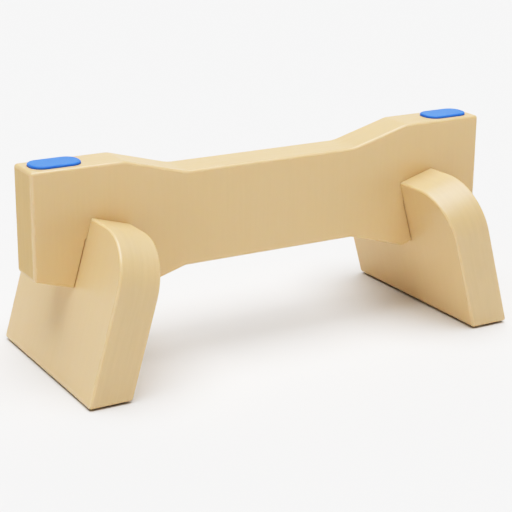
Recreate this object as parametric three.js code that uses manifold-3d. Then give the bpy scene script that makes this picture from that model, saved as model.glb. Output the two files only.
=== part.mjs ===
// A trestle stand that carries one end of a cutting board. A waisted beam crosses two splayed
// plate legs in halved joints, and soft grips sit in pockets on the beam and under the feet.
// Millimetres, +Z up, +X along the beam, origin on the floor under the middle of the beam.
import * as THREE from 'three';
import { mergeVertices } from 'three/addons/utils/BufferGeometryUtils.js';
import Module from 'manifold-3d';

const wasm = await Module();
wasm.setup();

// Overall
const bodyHeight = 120;
const plateThickness = 25;
const splay = THREE.MathUtils.degToRad(16);

// Beam
const beamLength = 300;
const beamEndDepth = 62;
const beamWaistTopDip = 10.3;
const beamWaistBottomDepth = 66.5;
const beamPadLength = 55;
const beamWaistStart = 93;
const beamEndEdgeRadius = 1.8;
const beamLongEdgeRadius = 1.8;
const beamCornerRadius = 2;
const beamCrestRadius = 12;
const beamWaistRadius = 25;
const beamUndersideRadius = 5;

// Legs
const legWidth = 124;
const legHeight = 94.2;
const legFootReach = 141.5;
const legCornerRadius = 30;
const legEdgeRadius = 1.5;
const legFootEdgeRadius = 2;

// Halved joints: each leg drops into a notch in the beam, and the beam into a slot in the leg
const notchDepth = 28.5;
const notchSideGap = 0.45;
const slotSideGap = 0.35;
const seatGap = 0.3;

// Grips: a rounded block on a plug with a rib round it, standing a little proud of its pocket
const gripLength = 29.5;
const gripCornerRadius = 7.5;
const topGripWidth = 17.5;
const topGripProud = 1.5;
const topGripEndMargin = 4;
const footGripWidth = 16;
const footGripProud = 1;
const footGripEndMargin = 6;
const gripPlugDepth = 4;
const gripEdgeRadius = 0.9;
const gripRibHeight = 0.3;
const gripRibLift = 1;
const pocketSideGap = 0.25;
const pocketFloorGap = 0.3;

// Fineness of the rounded shapes
const edgeSegments = 3;
const cornerSegments = 16;
const gripSegments = 28;
const gripEdgeSegments = 3;
const overcut = 20;

// Heights and places that follow from the sizes above
const beamTop = footGripProud + bodyHeight;
const beamEndBottom = beamTop - beamEndDepth;
const halfLength = beamLength / 2;
const halfPlate = plateThickness / 2;
const lobeDrop = beamPadLength * Math.tan(splay);
const topGripCentre = halfLength - topGripEndMargin - gripLength / 2;

// How far up a leg, measured along its slope, the underside of the beam crosses it
const beamAlongLeg = (beamEndBottom - footGripProud) * Math.cos(splay)
  - (halfLength - legFootReach) * Math.sin(splay);
const notchTopAlongLeg = beamAlongLeg + notchDepth;

// The middle of a foot grip on the left leg, half way along the part of it inside the leg
const footLength = plateThickness / Math.cos(splay);
const footGripLean = (gripPlugDepth / 2) * Math.tan(splay);
const footGripCentreX = -legFootReach + footLength / 2 + footGripLean;
const footGripCentreY = legWidth / 2 - footGripEndMargin - gripLength / 2;

const bodyMaterial = new THREE.MeshStandardMaterial({ color: 0xe6cf9f, roughness: 0.55, metalness: 0 });
const gripMaterial = new THREE.MeshStandardMaterial({ color: 0x4f93ea, roughness: 0.6, metalness: 0 });

// A closed outline whose corners are rounded: each corner is [x, y, radius]
function roundedShape(corners) {
  const shape = new THREE.Shape();
  corners.forEach(([x, y, radius], index) => {
    const corner = new THREE.Vector2(x, y);
    const before = new THREE.Vector2(...corners.at(index - 1)).sub(corner).normalize();
    const after = new THREE.Vector2(...corners[(index + 1) % corners.length]).sub(corner).normalize();
    const halfAngle = Math.acos(THREE.MathUtils.clamp(before.dot(after), -1, 1)) / 2;
    const reach = radius / Math.tan(halfAngle);
    const start = before.clone().multiplyScalar(reach).add(corner);
    const end = after.clone().multiplyScalar(reach).add(corner);
    const centre = before.clone().add(after).normalize();
    centre.multiplyScalar(radius / Math.sin(halfAngle)).add(corner);
    const clockwise = before.cross(after) > 0;
    const startAngle = Math.atan2(start.y - centre.y, start.x - centre.x);
    const endAngle = Math.atan2(end.y - centre.y, end.x - centre.x);
    if (index === 0) {
      shape.moveTo(start.x, start.y);
    } else {
      shape.lineTo(start.x, start.y);
    }
    shape.absarc(centre.x, centre.y, radius, startAngle, endAngle, clockwise);
  });
  return shape;
}

// A plate of the given thickness, centred on z = 0, with its edges rounded
function plate(shape, thickness, edgeRadius, curveSegments) {
  const geometry = new THREE.ExtrudeGeometry(shape, {
    depth: thickness - 2 * edgeRadius,
    bevelEnabled: edgeRadius > 0,
    bevelThickness: edgeRadius,
    bevelSize: edgeRadius,
    bevelOffset: -edgeRadius,
    bevelSegments: edgeSegments,
    curveSegments,
  });
  return geometry.translate(0, 0, edgeRadius - thickness / 2);
}

// A body of revolution pulled apart along x and y, so that its round plan becomes a rounded rectangle.
// The profile is a list of [radius, height], where gripCornerRadius is the outline of the plan
function stretchedLathe(profile, length, width) {
  const points = profile.map(([radius, height]) => new THREE.Vector2(radius, height));
  const halfSegment = Math.PI / gripSegments;
  const geometry = new THREE.LatheGeometry(points, gripSegments, halfSegment).rotateX(Math.PI / 2);
  const positions = geometry.attributes.position;
  for (let index = 0; index < positions.count; index += 1) {
    const x = positions.getX(index);
    const y = positions.getY(index);
    const onAxis = Math.hypot(x, y) < gripCornerRadius / 2;
    if (!onAxis) {
      positions.setX(index, x + Math.sign(x) * (length / 2 - gripCornerRadius));
      positions.setY(index, y + Math.sign(y) * (width / 2 - gripCornerRadius));
    }
  }
  return geometry;
}

function toSolid(geometry) {
  geometry.deleteAttribute('normal');
  geometry.deleteAttribute('uv');
  const merged = mergeVertices(geometry);
  return new wasm.Manifold(new wasm.Mesh({
    numProp: 3,
    vertProperties: new Float32Array(merged.attributes.position.array),
    triVerts: new Uint32Array(merged.index.array),
  }));
}

function toGeometry(solid) {
  const mesh = solid.getMesh();
  const geometry = new THREE.BufferGeometry();
  geometry.setAttribute('position', new THREE.BufferAttribute(mesh.vertProperties, 3));
  geometry.setIndex(new THREE.BufferAttribute(mesh.triVerts, 1));
  geometry.computeVertexNormals();
  return geometry;
}

function namedMesh(name, geometry, material) {
  const mesh = new THREE.Mesh(geometry, material);
  mesh.name = name;
  return mesh;
}

// The cutter for a grip's pocket: its mouth is at z = 0 and it goes down from there
function pocketCutter(width, proud) {
  const radius = gripCornerRadius + pocketSideGap;
  const depth = gripPlugDepth + pocketFloorGap;
  const profile = [[0, -depth], [radius, -depth], [radius, overcut], [0, overcut]];
  return stretchedLathe(profile, gripLength, width).translate(0, 0, -proud);
}

// A grip: its outer face is at z = 0 and its plug goes down from there
function gripGeometry(width, proud) {
  const radius = gripCornerRadius;
  const skirt = radius - gripRibHeight;
  const bottom = -proud - gripPlugDepth;
  const rib = bottom + gripRibLift;
  const profile = [
    [0, bottom],
    [skirt, bottom],
    [skirt, rib - gripRibHeight],
    [radius, rib],
    [skirt, rib + gripRibHeight],
    [skirt, -proud - gripRibHeight],
    [radius, -proud],
  ];
  for (let step = 0; step <= gripEdgeSegments; step += 1) {
    const angle = (step / gripEdgeSegments) * (Math.PI / 2);
    const inset = gripEdgeRadius * (1 - Math.cos(angle));
    profile.push([radius - inset, gripEdgeRadius * (Math.sin(angle) - 1)]);
  }
  profile.push([0, 0]);
  return stretchedLathe(profile, gripLength, width);
}

function makeBeam() {
  const crest = halfLength - beamPadLength;
  const waist = halfLength - beamWaistStart;
  const waistTop = beamTop - beamWaistTopDip;
  const waistBottom = beamTop - beamWaistBottomDepth;
  const lobeBottom = beamEndBottom - lobeDrop;
  const rightHalf = [
    [waist, waistBottom, beamUndersideRadius],
    [crest, lobeBottom, beamUndersideRadius],
    [halfLength, beamEndBottom, beamCornerRadius],
    [halfLength, beamTop, beamCornerRadius],
    [crest, beamTop, beamCrestRadius],
    [waist, waistTop, beamWaistRadius],
  ];
  const leftHalf = rightHalf.map(([x, z, radius]) => [-x, z, radius]).reverse();
  const side = roundedShape([...rightHalf, ...leftHalf]);
  let beam = toSolid(plate(side, plateThickness, beamLongEdgeRadius, edgeSegments).rotateX(Math.PI / 2));

  const plan = roundedShape([
    [halfLength, -halfPlate, beamEndEdgeRadius],
    [halfLength, halfPlate, beamEndEdgeRadius],
    [-halfLength, halfPlate, beamEndEdgeRadius],
    [-halfLength, -halfPlate, beamEndEdgeRadius],
  ]);
  beam = beam.intersect(toSolid(plate(plan, 4 * bodyHeight, 0, edgeSegments)));

  const notchWidth = plateThickness + 2 * notchSideGap;
  const notchHeight = notchTopAlongLeg - beamAlongLeg + overcut;
  for (const turn of [0, Math.PI]) {
    const notch = new THREE.BoxGeometry(notchWidth, plateThickness + overcut, notchHeight);
    notch.translate(halfPlate, 0, notchTopAlongLeg - notchHeight / 2);
    notch.rotateY(splay).translate(-legFootReach, 0, footGripProud).rotateZ(turn);
    beam = beam.subtract(toSolid(notch));
  }
  for (const end of [-1, 1]) {
    const pocket = pocketCutter(topGripWidth, topGripProud);
    pocket.translate(end * topGripCentre, 0, beamTop + topGripProud);
    beam = beam.subtract(toSolid(pocket));
  }
  return toGeometry(beam);
}

// A leg in its own frame: x goes inwards through the plate from its outer face, y along the foot,
// and z up the slope from the outer bottom edge
function makeLeg() {
  const halfWidth = legWidth / 2;
  const face = roundedShape([
    [-halfWidth, -overcut, 0],
    [halfWidth, -overcut, 0],
    [halfWidth, legHeight, legCornerRadius],
    [-halfWidth, legHeight, legCornerRadius],
  ]);
  const blank = plate(face, plateThickness, legEdgeRadius, cornerSegments);
  blank.rotateX(Math.PI / 2).rotateZ(Math.PI / 2).translate(halfPlate, 0, 0);

  const section = roundedShape([
    [0, 0, legFootEdgeRadius],
    [plateThickness, plateThickness * Math.tan(splay), legFootEdgeRadius],
    [plateThickness, legHeight + overcut, 0],
    [0, legHeight + overcut, 0],
  ]);
  const trim = plate(section, legWidth + overcut, 0, edgeSegments).rotateX(Math.PI / 2);
  let leg = toSolid(blank).intersect(toSolid(trim));

  const slotBottom = notchTopAlongLeg - seatGap;
  const slot = new THREE.BoxGeometry(plateThickness + overcut, plateThickness + 2 * slotSideGap, legHeight);
  slot.translate(halfPlate, 0, slotBottom + legHeight / 2);
  leg = leg.subtract(toSolid(slot));

  for (const end of [-1, 1]) {
    const pocket = pocketCutter(footGripWidth, footGripProud).rotateZ(Math.PI / 2).rotateX(Math.PI);
    pocket.translate(footGripCentreX - -legFootReach, end * footGripCentreY, -footGripProud);
    leg = leg.subtract(toSolid(pocket.rotateY(-splay)));
  }
  return toGeometry(leg);
}

const stand = new THREE.Group();
stand.add(namedMesh('beam', makeBeam(), bodyMaterial));

for (const [name, side] of [['left', -1], ['right', 1]]) {
  const topGrip = namedMesh(`top_grip_${name}`, gripGeometry(topGripWidth, topGripProud), gripMaterial);
  topGrip.position.set(side * topGripCentre, 0, beamTop + topGripProud);
  stand.add(topGrip);

  // The right leg is the left one turned half a turn about the vertical
  const legGroup = new THREE.Group();
  legGroup.rotation.z = side < 0 ? 0 : Math.PI;
  const leg = namedMesh(`${name}_leg`, makeLeg(), bodyMaterial);
  leg.position.set(-legFootReach, 0, footGripProud);
  leg.rotation.y = splay;
  legGroup.add(leg);
  for (const [place, front] of [['front', -1], ['back', 1]]) {
    const geometry = gripGeometry(footGripWidth, footGripProud).rotateZ(Math.PI / 2);
    const footGrip = namedMesh(`foot_grip_${name}_${place}`, geometry, gripMaterial);
    footGrip.position.set(footGripCentreX, -side * front * footGripCentreY, 0);
    footGrip.rotation.x = Math.PI;
    legGroup.add(footGrip);
  }
  stand.add(legGroup);
}

export default stand;
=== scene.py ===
"""Looks for a cutting board riser: a waisted beam slotted over two splayed plate legs, with soft grips.

Everything is in metres in the CAD frame: +X along the beam, +Z up, origin on the floor.
"""

import math

import bmesh
import bpy
from mathutils import Matrix, Vector


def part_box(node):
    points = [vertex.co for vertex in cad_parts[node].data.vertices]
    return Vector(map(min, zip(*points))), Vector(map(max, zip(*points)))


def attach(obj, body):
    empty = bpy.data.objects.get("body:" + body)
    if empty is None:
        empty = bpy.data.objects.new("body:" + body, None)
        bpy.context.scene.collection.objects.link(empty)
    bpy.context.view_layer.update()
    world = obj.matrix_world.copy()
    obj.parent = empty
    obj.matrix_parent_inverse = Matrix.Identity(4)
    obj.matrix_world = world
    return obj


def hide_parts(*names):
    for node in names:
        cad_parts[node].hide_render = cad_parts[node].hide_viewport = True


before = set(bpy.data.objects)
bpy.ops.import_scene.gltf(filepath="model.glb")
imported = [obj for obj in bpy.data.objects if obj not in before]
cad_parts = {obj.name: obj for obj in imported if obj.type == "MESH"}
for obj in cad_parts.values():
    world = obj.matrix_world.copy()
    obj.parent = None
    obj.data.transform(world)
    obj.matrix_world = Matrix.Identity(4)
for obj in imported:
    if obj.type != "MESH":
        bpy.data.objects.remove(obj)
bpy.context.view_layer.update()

MM = 0.001

# The beam, from its packed box and the drawing's sizes
BEAM_HIGH = Vector(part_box("beam")[1])
HALF_LENGTH = BEAM_HIGH.x
HALF_PLATE = BEAM_HIGH.y
PLATE = 2 * HALF_PLATE
BEAM_TOP = BEAM_HIGH.z
SPLAY = math.radians(16)
BEAM_END_DEPTH = 62 * MM
BEAM_PAD_LENGTH = 55 * MM
BEAM_WAIST_START = 93 * MM
BEAM_WAIST_TOP_DIP = 10.3 * MM
BEAM_WAIST_BOTTOM_DEPTH = 66.5 * MM
BEAM_CREST_RADIUS = 12 * MM
BEAM_WAIST_RADIUS = 25 * MM
BEAM_UNDERSIDE_RADIUS = 5 * MM
BEAM_END_EDGE_RADIUS = 1.8 * MM
BEAM_LONG_EDGE_RADIUS = 1.8 * MM
BEAM_CORNER_RADIUS = 2 * MM

# The legs
LEG_LOW, LEG_HIGH = (Vector(corner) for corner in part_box("left_leg"))
LEG_HALF_WIDTH = LEG_HIGH.y
FOOT_BOTTOM = LEG_LOW.z
FOOT_REACH = 141.5 * MM
LEG_HEIGHT = 94.2 * MM
LEG_CORNER_RADIUS = 30 * MM
LEG_EDGE_RADIUS = 1.5 * MM
FOOT_EDGE_RADIUS = 2 * MM

# The halved joints
NOTCH_DEPTH = 28.5 * MM
NOTCH_SIDE_GAP = 0.45 * MM
SLOT_SIDE_GAP = 0.12 * MM
SEAT_GAP = 0.3 * MM
CUT_EDGE_RADIUS = 0.2 * MM

# The grips and their pockets
GRIP_LENGTH = 29.5 * MM
GRIP_CORNER_RADIUS = 7.5 * MM
TOP_GRIP_WIDTH = 17.5 * MM
TOP_GRIP_PROUD = 1.5 * MM
FOOT_GRIP_WIDTH = 16 * MM
FOOT_GRIP_PROUD = 1 * MM
GRIP_PLUG_DEPTH = 4 * MM
GRIP_EDGE_RADIUS = 0.9 * MM
GRIP_RIB_HEIGHT = 0.3 * MM
GRIP_RIB_LIFT = 1 * MM
POCKET_SIDE_GAP = 0.1 * MM
POCKET_FLOOR_GAP = 0.3 * MM

# Tolerances: how near counts as touching, how sharp a bend counts as an edge, the cosine above which
# two directions count as parallel, and how far a flat face's normal may lean
TOUCHING = 0.01 * MM
SHARP_BEND = math.radians(20)
PARALLEL = 0.999
FACE_LEAN = math.radians(2)

# Colours, as linear red, green and blue. The plastic yellows by the factor given, in faint clouds
FACE_CREAM = (0.728, 0.517, 0.292)
# The cut edges' cream is darker than the faces': partly the cut surface's own tone, partly painted shade
# that darkens the leg sides
EDGE_TONE_AND_SHADE_CREAM = (0.665, 0.470, 0.254)
# The ends' cream is darker still: painted shade that darkens the beam's sawn ends
END_SHADE_CREAM = (0.640, 0.440, 0.225)
YELLOWING = (1.01, 1.0, 0.94)
BLUE = (0.044, 0.184, 0.700)
SPECK_BROWN = (0.16, 0.10, 0.05, 1)
FLOOR_PALE = (0.80, 0.80, 0.80, 1)
WHITE = (1, 1, 1, 1)

# The plastic's tool marks, as noise scales per metre: along the marks, and how much more across them
COARSE_MARKS = (25, 420)
FINE_MARKS = (60, 2400)
CLOUD_SCALE = 16
MOTTLE_SCALE = 140
GRAIN_SCALE = 1500
SPECK_SCALE = 45.0
SPECK_CHANCE = 0.1
SPECK_STRENGTH = 0.55
ROUGHNESS_SPREAD = 0.06

# The rubber's noise scales per metre, and its stipple
RUBBER_CLOUD_SCALE = 90
STIPPLE_SCALE = 2600
STIPPLE_DEPTH = 0.03 * MM

# The lights: name, azimuth, elevation and spread in degrees, and strength
LIGHT_DISTANCE = 2
LIGHTS = (
    ("overhead", 0, 87, 60, 6.3),
    ("key", -48, 45, 60, 0.5),
    ("side", -72, 8, 24, 0.18),
)

# The studio wall: a bright band round the horizon, and a glow behind the object
HORIZON_STRENGTH = 1.6
HORIZON_TOP = math.radians(12)
GLOW_STRENGTH = 2.0
GLOW_AZIMUTH = 150
GLOW_ELEVATION = 12
GLOW_TIGHTNESS = 6

# The camera: sensor and lens in millimetres, angles in degrees, the rest in metres
CAMERA_SENSOR = 36
CAMERA_LENS = 103.5
CAMERA_CLIP_END = 100
CAMERA_AZIMUTH = -30.27
CAMERA_ELEVATION = 18.10
CAMERA_ROLL = 0.52
CAMERA_DISTANCE = 0.8841
CAMERA_TARGET = (-0.0035, 0, 0.0484)

# The floor's side, in metres
FLOOR_SIZE = 60

# The camera's tone curve
RESPONSE_CONTRAST = 1.5
RESPONSE_CEILING = 1.3
RESPONSE_RANGE = 2.3
RESPONSE_STEPS = 12

# Fineness of the rounded shapes
ARC_STEP = math.radians(3)
EDGE_SEGMENTS = 5
GRIP_STEPS = 96
GRIP_EDGE_STEPS = 8

# Heights that follow from the sizes above. "Along leg" is measured up a leg's slope
BEAM_END_BOTTOM = BEAM_TOP - BEAM_END_DEPTH
BEAM_ALONG_LEG = (
    (BEAM_END_BOTTOM - FOOT_BOTTOM) * math.cos(SPLAY) - (HALF_LENGTH - FOOT_REACH) * math.sin(SPLAY)
)
NOTCH_TOP_ALONG_LEG = BEAM_ALONG_LEG + NOTCH_DEPTH

# The turn that points a grip's outer face down and its length across the stand
DOWNWARDS = Matrix.Rotation(math.pi, 4, "X") @ Matrix.Rotation(math.pi / 2, 4, "Z")


# ---------------------------------------------------------------- outlines

def rounded_outline(corners):
    """A closed outline's points, with its corners (x, y, radius) turned into arcs. Radius 0 stays sharp."""
    points = []
    for index, (x, y, radius) in enumerate(corners):
        corner = Vector((x, y))
        if radius == 0:
            points.append(corner)
            continue
        before = (Vector(corners[index - 1][:2]) - corner).normalized()
        after = (Vector(corners[(index + 1) % len(corners)][:2]) - corner).normalized()
        half_angle = before.angle(after) / 2
        centre = corner + (before + after).normalized() * radius / math.sin(half_angle)
        start = corner + before * radius / math.tan(half_angle) - centre
        turn = math.pi - 2 * half_angle
        if before.x * after.y - before.y * after.x > 0:
            turn = -turn
        steps = max(2, math.ceil(abs(turn) / ARC_STEP))
        for step in range(steps + 1):
            points.append(centre + Matrix.Rotation(turn * step / steps, 2) @ start)
    return points


def on_left_leg(inwards, up_slope):
    """A point of the left leg's section as (x, z): inwards through the plate, and up the slope."""
    x = -FOOT_REACH + inwards * math.cos(SPLAY) + up_slope * math.sin(SPLAY)
    z = FOOT_BOTTOM - inwards * math.sin(SPLAY) + up_slope * math.cos(SPLAY)
    return x, z


def beam_outline():
    """The beam's side view as (x, z, radius), anticlockwise, with its two notches."""
    crest = HALF_LENGTH - BEAM_PAD_LENGTH
    waist = HALF_LENGTH - BEAM_WAIST_START
    lobe_bottom = BEAM_END_BOTTOM - BEAM_PAD_LENGTH * math.tan(SPLAY)
    notch = [
        (*on_left_leg(-NOTCH_SIDE_GAP, BEAM_ALONG_LEG), 0),
        (*on_left_leg(-NOTCH_SIDE_GAP, NOTCH_TOP_ALONG_LEG), 0),
        (*on_left_leg(PLATE + NOTCH_SIDE_GAP, NOTCH_TOP_ALONG_LEG), 0),
        (*on_left_leg(PLATE + NOTCH_SIDE_GAP, BEAM_ALONG_LEG), 0),
    ]
    left = [
        (-waist, BEAM_TOP - BEAM_WAIST_TOP_DIP, BEAM_WAIST_RADIUS),
        (-crest, BEAM_TOP, BEAM_CREST_RADIUS),
        (-HALF_LENGTH, BEAM_TOP, 0),
        (-HALF_LENGTH, BEAM_END_BOTTOM, 0),
        *notch,
        (-crest, lobe_bottom, BEAM_UNDERSIDE_RADIUS),
        (-waist, BEAM_TOP - BEAM_WAIST_BOTTOM_DEPTH, BEAM_UNDERSIDE_RADIUS),
    ]
    right = [(-x, z, radius) for x, z, radius in reversed(left)]
    return left + right


def leg_outline():
    """A leg's face as (y, up the slope, radius), anticlockwise, with its slot."""
    slot = HALF_PLATE + SLOT_SIDE_GAP
    slot_bottom = NOTCH_TOP_ALONG_LEG - SEAT_GAP
    right = [
        (LEG_HALF_WIDTH, 0, 0),
        (LEG_HALF_WIDTH, LEG_HEIGHT, LEG_CORNER_RADIUS),
        (slot, LEG_HEIGHT, 0),
        (slot, slot_bottom, 0),
    ]
    left = [(-y, up, radius) for y, up, radius in reversed(right)]
    return right + left


# ---------------------------------------------------------------- meshes

def closed_object(name, mesh):
    """Turns a finished bmesh into an object of the scene, with its faces looking outwards."""
    bmesh.ops.recalc_face_normals(mesh, faces=mesh.faces)
    data = bpy.data.meshes.new(name)
    mesh.to_mesh(data)
    mesh.free()
    piece = bpy.data.objects.new(name, data)
    bpy.context.scene.collection.objects.link(piece)
    return piece


def prism(name, points, place):
    """A solid between two copies of an outline. place(a, b, side) gives a corner, with side 0 or 1."""
    mesh = bmesh.new()
    rings = [[mesh.verts.new(place(a, b, side)) for a, b in points] for side in (0, 1)]
    mesh.faces.new(rings[0])
    mesh.faces.new(reversed(rings[1]))
    for index in range(len(points)):
        before = index - 1
        mesh.faces.new((rings[0][before], rings[1][before], rings[1][index], rings[0][index]))
    return closed_object(name, mesh)


def stretched_lathe(name, profile, width):
    """A turned profile of (radius, height), pulled apart so that its plan is a grip's rounded rectangle."""
    mesh = bmesh.new()
    shift_x = GRIP_LENGTH / 2 - GRIP_CORNER_RADIUS
    shift_y = width / 2 - GRIP_CORNER_RADIUS
    rings = []
    for radius, height in profile:
        if radius == 0:
            rings.append([mesh.verts.new((0, 0, height))])
            continue
        ring = []
        for step in range(GRIP_STEPS):
            angle = 2 * math.pi * (step + 0.5) / GRIP_STEPS
            x = radius * math.cos(angle)
            y = radius * math.sin(angle)
            x += math.copysign(shift_x, x)
            y += math.copysign(shift_y, y)
            ring.append(mesh.verts.new((x, y, height)))
        rings.append(ring)
    for lower, upper in zip(rings, rings[1:]):
        for step in range(GRIP_STEPS):
            following = (step + 1) % GRIP_STEPS
            corners = [lower[step % len(lower)], lower[following % len(lower)]]
            corners += [upper[following % len(upper)], upper[step % len(upper)]]
            mesh.faces.new(list(dict.fromkeys(corners)))
    return closed_object(name, mesh)


def apply_modifiers(piece):
    """Turns a piece's modifiers into plain mesh."""
    evaluated = piece.evaluated_get(bpy.context.evaluated_depsgraph_get())
    finished = bpy.data.meshes.new_from_object(evaluated)
    piece.modifiers.clear()
    piece.data = finished


def cut(piece, cutter):
    """Takes the cutter's volume out of the piece and deletes the cutter."""
    boolean = piece.modifiers.new("pocket", "BOOLEAN")
    boolean.operation = "DIFFERENCE"
    boolean.solver = "EXACT"
    boolean.object = cutter
    apply_modifiers(piece)
    bpy.data.objects.remove(cutter)


def pocket_cutter(width, proud, place):
    """The volume that a grip's pocket takes out. Its z = 0 is the grip's outer face."""
    radius = GRIP_CORNER_RADIUS + POCKET_SIDE_GAP
    bottom = -proud - GRIP_PLUG_DEPTH - POCKET_FLOOR_GAP
    profile = [(0, bottom), (radius, bottom), (radius, GRIP_LENGTH), (0, GRIP_LENGTH)]
    cutter = stretched_lathe("pocket_cutter", profile, width)
    cutter.data.transform(place)
    return cutter


def is_sharp(edge):
    """Whether two faces meet at an edge with a clear bend."""
    return len(edge.link_faces) == 2 and edge.calc_face_angle(0) >= SHARP_BEND


def round_edges(piece, radius_of):
    """Rounds each sharp edge by radius_of(edge), and smooths the shading without bending the flat faces."""
    mesh = bmesh.new()
    mesh.from_mesh(piece.data)
    weights = mesh.edges.layers.float.new("bevel_weight_edge")
    radii = {edge: radius_of(edge) if is_sharp(edge) else 0 for edge in mesh.edges}
    largest = max(radii.values())
    for edge, radius in radii.items():
        edge[weights] = radius / largest
    for face in mesh.faces:
        face.smooth = True
    mesh.to_mesh(piece.data)
    mesh.free()
    bevel = piece.modifiers.new("round", "BEVEL")
    bevel.limit_method = "WEIGHT"
    bevel.offset_type = "OFFSET"
    bevel.width = largest
    bevel.segments = EDGE_SEGMENTS
    bevel.use_clamp_overlap = False
    bevel.miter_outer = "MITER_ARC"
    weighted = piece.modifiers.new("weigh", "WEIGHTED_NORMAL")
    weighted.mode = "FACE_AREA"
    weighted.weight = 100
    weighted.keep_sharp = True
    apply_modifiers(piece)


# ---------------------------------------------------------------- materials

class Nodes:
    """A short way to write a material's node tree."""

    def __init__(self, name):
        self.material = bpy.data.materials.new(name)
        self.material.use_nodes = True
        self.tree = self.material.node_tree
        self.shader = self.tree.nodes["Principled BSDF"]

    def add(self, kind, inputs=None, **settings):
        node = self.tree.nodes.new(kind)
        for key, value in settings.items():
            setattr(node, key, value)
        for key, value in (inputs or {}).items():
            self.feed(node.inputs[key], value)
        return node

    def feed(self, socket, value):
        if isinstance(value, bpy.types.NodeSocket):
            self.tree.links.new(value, socket)
        else:
            socket.default_value = value

    def stretched(self, rotation, scale):
        """Object coordinates turned, then scaled separately along each axis."""
        place = self.add("ShaderNodeTexCoord").outputs["Object"]
        turned = self.add(
            "ShaderNodeMapping", {"Vector": place, "Rotation": rotation}, vector_type="TEXTURE"
        )
        scaled = self.add("ShaderNodeMapping", {"Vector": turned.outputs["Vector"], "Scale": scale})
        return scaled.outputs["Vector"]

    def noise(self, vector, scale, detail=2.0, roughness=0.5):
        inputs = {"Vector": vector, "Scale": scale, "Detail": detail, "Roughness": roughness}
        return self.add("ShaderNodeTexNoise", inputs).outputs["Fac"]

    def to_range(self, value, low, high, new_low, new_high):
        inputs = {"Value": value, "From Min": low, "From Max": high, "To Min": new_low, "To Max": new_high}
        return self.add("ShaderNodeMapRange", inputs).outputs["Result"]

    def math(self, operation, first, second):
        return self.add("ShaderNodeMath", {0: first, 1: second}, operation=operation).outputs["Value"]

    def weighted(self, *parts):
        """A sum of values, each given with its weight."""
        products = [self.math("MULTIPLY", value, weight) for value, weight in parts]
        total = products[0]
        for product in products[1:]:
            total = self.math("ADD", total, product)
        return total

    def mix(self, factor, first, second):
        node = self.add("ShaderNodeMix", data_type="RGBA")
        self.feed(node.inputs["Factor"], factor)
        self.feed(node.inputs["A"], first)
        self.feed(node.inputs["B"], second)
        return node.outputs["Result"]

    def bump(self, height, depth):
        """Raises the surface by a height pattern of the given depth."""
        node = self.add("ShaderNodeBump", {"Height": height, "Distance": depth, "Strength": 1.0})
        self.feed(self.shader.inputs["Normal"], node.outputs["Normal"])

    def finish(self, specular, subsurface, radius, scale):
        """Sets the gloss and the light that soaks in."""
        self.shader.inputs["IOR"].default_value = 1.5
        self.shader.inputs["Specular IOR Level"].default_value = specular
        self.shader.inputs["Subsurface Weight"].default_value = subsurface
        self.shader.inputs["Subsurface Radius"].default_value = radius
        self.shader.inputs["Subsurface Scale"].default_value = scale


def marks(across, scales):
    """Noise scales along each axis: a low one along the tool marks, and a high one across them."""
    along, extra = scales
    return [along + extra * axis for axis in across]


def shaded(colour, factor):
    """A colour made lighter or darker, with its alpha."""
    return (*(channel * factor for channel in colour), 1)


def polyethylene(name, rotation, across, tint, streaks, streak_depth, roughness, specular):
    """Cream machined polyethylene. across is the axis, once turned, that its tool marks are spaced along."""
    nodes = Nodes(name)
    plain = nodes.stretched(rotation, (1, 1, 1))
    coarse = nodes.noise(nodes.stretched(rotation, marks(across, COARSE_MARKS)), 1, 3, 0.6)
    fine = nodes.noise(nodes.stretched(rotation, marks(across, FINE_MARKS)), 1, 2, 0.6)
    cloud = nodes.noise(plain, CLOUD_SCALE, 3, 0.55)
    mottle = nodes.noise(plain, MOTTLE_SCALE, 2, 0.5)

    streaking = nodes.weighted((coarse, 0.6), (fine, 0.25), (mottle, 0.15))
    yellowed = [channel * change for channel, change in zip(tint, YELLOWING)]
    dark = nodes.mix(cloud, shaded(tint, 1 - streaks), shaded(yellowed, 1 - streaks))
    light = nodes.mix(cloud, shaded(tint, 1 + streaks), shaded(yellowed, 1 + streaks))
    streaked = nodes.mix(nodes.to_range(streaking, 0.38, 0.62, 0, 1), dark, light)

    cells = nodes.add("ShaderNodeTexVoronoi", {"Vector": plain, "Scale": SPECK_SCALE, "Randomness": 1.0})
    near = nodes.to_range(cells.outputs["Distance"], 0.008, 0.02, 1, 0)
    cell_colour = nodes.add("ShaderNodeSeparateColor", {"Color": cells.outputs["Color"]})
    chosen = nodes.math("GREATER_THAN", cell_colour.outputs["Red"], 1 - SPECK_CHANCE)
    speck = nodes.math("MULTIPLY", nodes.math("MULTIPLY", near, chosen), SPECK_STRENGTH)
    nodes.feed(nodes.shader.inputs["Base Color"], nodes.mix(speck, streaked, SPECK_BROWN))

    worn = nodes.to_range(fine, 0.3, 0.7, roughness - ROUGHNESS_SPREAD, roughness + ROUGHNESS_SPREAD)
    nodes.feed(nodes.shader.inputs["Roughness"], worn)
    nodes.finish(specular, subsurface=0.35, radius=(1.0, 0.6, 0.3), scale=4 * MM)

    grain = nodes.noise(plain, GRAIN_SCALE, 2, 0.5)
    nodes.bump(nodes.weighted((coarse, 0.6), (fine, 0.3), (grain, 0.15)), streak_depth)
    return nodes.material


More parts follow.
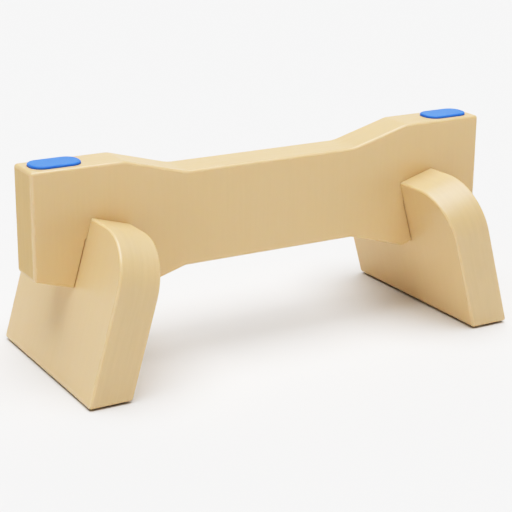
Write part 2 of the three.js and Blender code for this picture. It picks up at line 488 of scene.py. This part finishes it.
def elastomer(name):
    """Satin blue moulded rubber with a fine stipple."""
    nodes = Nodes(name)
    plain = nodes.stretched((0, 0, 0), (1, 1, 1))
    cloud = nodes.to_range(nodes.noise(plain, RUBBER_CLOUD_SCALE, 2, 0.5), 0.35, 0.65, 0, 1)
    blue = nodes.mix(cloud, shaded(BLUE, 0.97), shaded(BLUE, 1.03))
    nodes.feed(nodes.shader.inputs["Base Color"], blue)
    stipple = nodes.noise(plain, STIPPLE_SCALE, 2, 0.6)
    nodes.feed(nodes.shader.inputs["Roughness"], nodes.to_range(stipple, 0.3, 0.7, 0.42, 0.56))
    nodes.finish(specular=0.35, subsurface=0.3, radius=(0.3, 0.5, 1.0), scale=2 * MM)
    nodes.bump(stipple, STIPPLE_DEPTH)
    return nodes.material


def machined(piece, rotation, face_across, edge_across, plate_normal, edge_gloss):
    """Gives a plate's faces, cut edges, rounded corners and sawn ends their own tool marks. The cut edges'
    cream is darker, partly their own tone and partly painted shade; the sawn ends' cream is darker still, as
    painted shade.
    """
    face = polyethylene(
        piece.name + "_face", rotation, face_across,
        tint=FACE_CREAM, streaks=0.010, streak_depth=0.006 * MM, roughness=0.42, specular=0.35,
    )
    # The cut edges' darker cream: partly their own tone, partly painted shade
    edge = polyethylene(
        piece.name + "_edge", rotation, edge_across,
        tint=EDGE_TONE_AND_SHADE_CREAM, streaks=0.028, streak_depth=0.012 * MM, roughness=0.5, specular=edge_gloss,
    )
    rounded = polyethylene(
        piece.name + "_rounded", rotation, edge_across,
        tint=FACE_CREAM, streaks=0.015, streak_depth=0.004 * MM, roughness=0.26, specular=0.6,
    )
    # The sawn ends' darker cream is painted shade
    end = polyethylene(
        piece.name + "_end", rotation, edge_across,
        tint=END_SHADE_CREAM, streaks=0.030, streak_depth=0.015 * MM, roughness=0.65, specular=0.15,
    )
    piece.data.materials.clear()
    for material in (face, edge, rounded, end):
        piece.data.materials.append(material)
    slots = {material: index for index, material in enumerate(piece.data.materials)}
    for polygon in piece.data.polygons:
        facing = abs(polygon.normal.dot(plate_normal))
        if facing > math.cos(FACE_LEAN):
            polygon.material_index = slots[face]
        elif facing > math.sin(FACE_LEAN):
            polygon.material_index = slots[rounded]
        elif abs(polygon.normal.x) > math.cos(FACE_LEAN):
            polygon.material_index = slots[end]
        else:
            polygon.material_index = slots[edge]


# ---------------------------------------------------------------- pieces

def make_beam():
    """The waisted beam, with its notches and the pockets for the top grips."""
    outline = rounded_outline(beam_outline())
    piece = prism("beam_body", outline, lambda x, z, side: (x, (2 * side - 1) * HALF_PLATE, z))
    for node in ("top_grip_left", "top_grip_right"):
        low, high = (Vector(corner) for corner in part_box(node))
        place = Matrix.Translation(((low.x + high.x) / 2, 0, high.z))
        cut(piece, pocket_cutter(TOP_GRIP_WIDTH, TOP_GRIP_PROUD, place))

    def radius_of(edge):
        middle = (edge.verts[0].co + edge.verts[1].co) / 2
        along = (edge.verts[1].co - edge.verts[0].co).normalized()
        at_end = abs(abs(middle.x) - HALF_LENGTH) < TOUCHING
        on_face = abs(abs(middle.y) - HALF_PLATE) < TOUCHING
        in_notch = any(face_in_notch(face) for face in edge.link_faces)
        if at_end and abs(along.z) > PARALLEL:
            return BEAM_END_EDGE_RADIUS
        if at_end:
            return BEAM_CORNER_RADIUS
        if in_notch or not on_face:
            return CUT_EDGE_RADIUS
        return BEAM_LONG_EDGE_RADIUS

    round_edges(piece, radius_of)
    machined(piece, (0, 0, 0), (1, 0, 0), (0, 1, 0), Vector((0, 1, 0)), edge_gloss=0.3)
    return piece


def face_in_notch(face):
    """Whether a face of the beam is a wall or the top of a notch."""
    if abs(face.normal.y) > PARALLEL:
        return False
    centre = face.calc_center_median()
    x = -abs(centre.x) + FOOT_REACH
    z = centre.z - FOOT_BOTTOM
    up_slope = x * math.sin(SPLAY) + z * math.cos(SPLAY)
    inwards = x * math.cos(SPLAY) - z * math.sin(SPLAY)
    reach = NOTCH_SIDE_GAP + TOUCHING
    inside = -reach < inwards < PLATE + reach
    return inside and BEAM_ALONG_LEG + TOUCHING < up_slope < NOTCH_TOP_ALONG_LEG + TOUCHING


def make_leg(side):
    """A splayed plate leg, made as the left one and turned half a turn for the right."""
    name = "left" if side < 0 else "right"

    def place(y, up_slope, layer):
        inwards = layer * PLATE
        if up_slope == 0:
            up_slope = inwards * math.tan(SPLAY)
        x, z = on_left_leg(inwards, up_slope)
        return x, y, z

    piece = prism(f"{name}_leg_plate", rounded_outline(leg_outline()), place)
    for end in ("front", "back"):
        low, high = (Vector(corner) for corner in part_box(f"foot_grip_left_{end}"))
        outer_face = Matrix.Translation(((low.x + high.x) / 2, (low.y + high.y) / 2, low.z))
        cut(piece, pocket_cutter(FOOT_GRIP_WIDTH, FOOT_GRIP_PROUD, outer_face @ DOWNWARDS))

    outwards = Vector((-math.cos(SPLAY), 0, math.sin(SPLAY)))

    def radius_of(edge):
        middle = (edge.verts[0].co + edge.verts[1].co) / 2
        inside_slot = abs(middle.y) < HALF_PLATE + SLOT_SIDE_GAP + TOUCHING
        low_down = middle.z < FOOT_BOTTOM + TOUCHING
        on_plate = any(abs(face.normal.dot(outwards)) > PARALLEL for face in edge.link_faces)
        on_outline = abs(abs(middle.y) - LEG_HALF_WIDTH) < TOUCHING
        if low_down and (on_plate or on_outline):
            return FOOT_EDGE_RADIUS
        if low_down or inside_slot or not on_plate:
            return CUT_EDGE_RADIUS
        return LEG_EDGE_RADIUS

    round_edges(piece, radius_of)
    rotation = (0, SPLAY, 0)
    if side > 0:
        piece.data.transform(Matrix.Rotation(math.pi, 4, "Z"))
        outwards = Vector((-outwards.x, 0, outwards.z))
        rotation = (0, -SPLAY, 0)
    machined(piece, rotation, (0, 1, 0), (1, 0, 0), outwards, edge_gloss=0.9)
    return piece


def grip_profile(proud):
    """A grip's half section as (radius, height), from its plug up to its outer face at height 0."""
    radius = GRIP_CORNER_RADIUS
    skirt = radius - GRIP_RIB_HEIGHT
    bottom = -proud - GRIP_PLUG_DEPTH
    rib = bottom + GRIP_RIB_LIFT
    profile = [(0, bottom), (skirt - GRIP_RIB_HEIGHT, bottom), (skirt, bottom + GRIP_RIB_HEIGHT)]
    for step in range(GRIP_EDGE_STEPS + 1):
        angle = math.pi * (step / GRIP_EDGE_STEPS - 0.5)
        profile.append((skirt + GRIP_RIB_HEIGHT * math.cos(angle), rib + GRIP_RIB_HEIGHT * math.sin(angle)))
    profile += [(skirt, -proud - GRIP_RIB_HEIGHT), (radius, -proud)]
    for step in range(GRIP_EDGE_STEPS + 1):
        angle = math.pi / 2 * step / GRIP_EDGE_STEPS
        profile.append((
            radius + GRIP_EDGE_RADIUS * (math.cos(angle) - 1),
            GRIP_EDGE_RADIUS * (math.sin(angle) - 1),
        ))
    profile.append((0, 0))
    return profile


def make_grip(node, width, proud, points_down, material):
    """A grip in the place of its CAD node, with its outer face up or down."""
    low, high = (Vector(corner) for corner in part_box(node))
    middle = (low + high) / 2
    piece = stretched_lathe(f"{node}_pad", grip_profile(proud), width)
    outer_face = Matrix.Translation((middle.x, middle.y, low.z if points_down else high.z))
    piece.data.transform(outer_face @ DOWNWARDS if points_down else outer_face)
    for face in piece.data.polygons:
        face.use_smooth = True
    weighted = piece.modifiers.new("weigh", "WEIGHTED_NORMAL")
    weighted.weight = 100
    apply_modifiers(piece)
    piece.data.materials.clear()
    piece.data.materials.append(material)
    return piece


def settle(piece, node, body):
    """Ties a finished piece to the CAD: what it replaces and what it moves with."""
    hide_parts(node)
    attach(piece, body)


settle(make_beam(), "beam", "beam")
RUBBER = elastomer("grip_rubber")
for name, side in (("left", -1), ("right", 1)):
    settle(make_leg(side), f"{name}_leg", f"{name}_leg")
    top_grip = make_grip(f"top_grip_{name}", TOP_GRIP_WIDTH, TOP_GRIP_PROUD, False, RUBBER)
    settle(top_grip, f"top_grip_{name}", "beam")
    for end in ("front", "back"):
        node = f"foot_grip_{name}_{end}"
        foot_grip = make_grip(node, FOOT_GRIP_WIDTH, FOOT_GRIP_PROUD, True, RUBBER)
        settle(foot_grip, node, f"{name}_leg")


# ---------------------------------------------------------------- stage, light and camera

def make_floor():
    """A plain pale floor, far wider than any view of the object."""
    bpy.ops.mesh.primitive_plane_add(size=FLOOR_SIZE)
    floor = bpy.context.object
    floor.name = "floor"
    nodes = Nodes("floor_pale")
    nodes.shader.inputs["Base Color"].default_value = FLOOR_PALE
    nodes.shader.inputs["Roughness"].default_value = 0.9
    nodes.shader.inputs["Specular IOR Level"].default_value = 0.1
    floor.data.materials.append(nodes.material)


def direction(azimuth, elevation):
    """The way from the object towards a viewpoint. Azimuth 0 is the viewpoint that looks along +Y."""
    azimuth = math.radians(azimuth)
    elevation = math.radians(elevation)
    level = math.cos(elevation)
    return Vector((math.sin(azimuth) * level, -math.cos(azimuth) * level, math.sin(elevation)))


def aimed(thing, azimuth, elevation, distance, target):
    """Puts an object on a sphere round the target, looking at it."""
    back = direction(azimuth, elevation)
    thing.location = Vector(target) + distance * back
    thing.rotation_euler = back.to_track_quat("Z", "Y").to_euler()
    bpy.context.scene.collection.objects.link(thing)


def soft_light(name, azimuth, elevation, spread, strength):
    """A far, wide studio light, as soft as its spread in degrees."""
    light = bpy.data.lights.new(name, "SUN")
    light.angle = math.radians(spread)
    light.energy = strength
    aimed(bpy.data.objects.new(name, light), azimuth, elevation, LIGHT_DISTANCE, (0, 0, BEAM_TOP / 2))


def world_math(tree, operation, first, second):
    """A math node of the world's tree, with its inputs given as sockets or numbers."""
    node = tree.nodes.new("ShaderNodeMath")
    node.operation = operation
    for socket, value in zip(node.inputs, (first, second)):
        if isinstance(value, bpy.types.NodeSocket):
            tree.links.new(value, socket)
        else:
            socket.default_value = value
    return node.outputs["Value"]


def make_world():
    """A white studio wall: a bright band all round the horizon, and a glow low behind the object."""
    world = bpy.data.worlds.new("studio")
    world.use_nodes = True
    tree = world.node_tree
    place = tree.nodes.new("ShaderNodeTexCoord").outputs["Generated"]

    facing = tree.nodes.new("ShaderNodeVectorMath")
    facing.operation = "DOT_PRODUCT"
    tree.links.new(place, facing.inputs[0])
    facing.inputs[1].default_value = direction(GLOW_AZIMUTH, GLOW_ELEVATION)
    ahead = world_math(tree, "MAXIMUM", facing.outputs["Value"], 0)
    tight = world_math(tree, "POWER", ahead, GLOW_TIGHTNESS)
    glow = world_math(tree, "MULTIPLY", tight, GLOW_STRENGTH)

    height = tree.nodes.new("ShaderNodeSeparateXYZ")
    tree.links.new(place, height.inputs[0])
    band = tree.nodes.new("ShaderNodeMapRange")
    band.interpolation_type = "SMOOTHSTEP"
    tree.links.new(height.outputs["Z"], band.inputs["Value"])
    band.inputs["From Min"].default_value = math.sin(HORIZON_TOP)
    band.inputs["From Max"].default_value = math.sin(HORIZON_TOP / 2)
    band.inputs["To Max"].default_value = HORIZON_STRENGTH

    background = tree.nodes["Background"]
    background.inputs["Color"].default_value = WHITE
    strength = world_math(tree, "MAXIMUM", glow, band.outputs["Result"])
    tree.links.new(strength, background.inputs["Strength"])
    bpy.context.scene.world = world


def make_camera():
    """The view from the front and the left, a little above."""
    camera = bpy.data.objects.new("camera", bpy.data.cameras.new("camera"))
    camera.data.sensor_width = CAMERA_SENSOR
    camera.data.lens = CAMERA_LENS
    camera.data.clip_end = CAMERA_CLIP_END
    aimed(camera, CAMERA_AZIMUTH, CAMERA_ELEVATION, CAMERA_DISTANCE, CAMERA_TARGET)
    camera.rotation_euler.rotate_axis("Z", math.radians(CAMERA_ROLL))
    bpy.context.scene.camera = camera


def make_camera_response():
    """A camera's tone curve: contrast in the darks, and a soft shoulder that keeps lights from clipping."""
    settings = bpy.context.scene.view_settings
    settings.view_transform = "Standard"
    settings.use_curve_mapping = True
    mapping = settings.curve_mapping
    mapping.white_level = (RESPONSE_RANGE, RESPONSE_RANGE, RESPONSE_RANGE)
    points = mapping.curves[3].points
    for step in range(1, RESPONSE_STEPS):
        position = (step / RESPONSE_STEPS) ** 2
        points.new(position, response(position * RESPONSE_RANGE))
    points[0].location = (0, 0)
    points[-1].location = (1, response(RESPONSE_RANGE))
    mapping.update()


def response(light):
    """The tone curve: what the camera records for an amount of light."""
    contrasted = light ** RESPONSE_CONTRAST
    return min(1, RESPONSE_CEILING * contrasted / (contrasted + 1))


make_floor()
make_world()
for light in LIGHTS:
    soft_light(*light)
make_camera()
make_camera_response()
